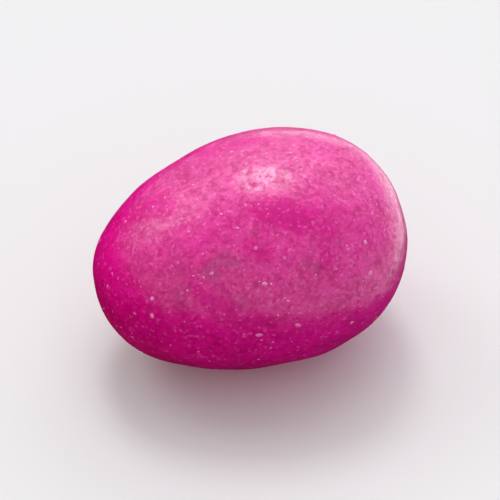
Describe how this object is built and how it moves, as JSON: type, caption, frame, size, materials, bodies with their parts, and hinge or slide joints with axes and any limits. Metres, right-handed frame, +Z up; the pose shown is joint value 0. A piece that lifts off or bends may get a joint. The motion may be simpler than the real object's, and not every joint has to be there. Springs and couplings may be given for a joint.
{
  "type": "sugared almond",
  "caption": "Egg-shaped almond in chocolate with a satin pink sugar shell, lying on its side on a small flat spot.",
  "frame": {"origin": "on the surface that the almond rests on, under the middle of its bounding box", "axes": "+X along the almond towards its blunt end, +Y across it, +Z up through its thickness"},
  "size_m": [0.0258, 0.02, 0.0182],
  "materials": {
    "sugar_shell": "satin"
  },
  "bodies": {
    "root": {"sugared_almond": "sugar_shell"}
  },
  "joints": []
}
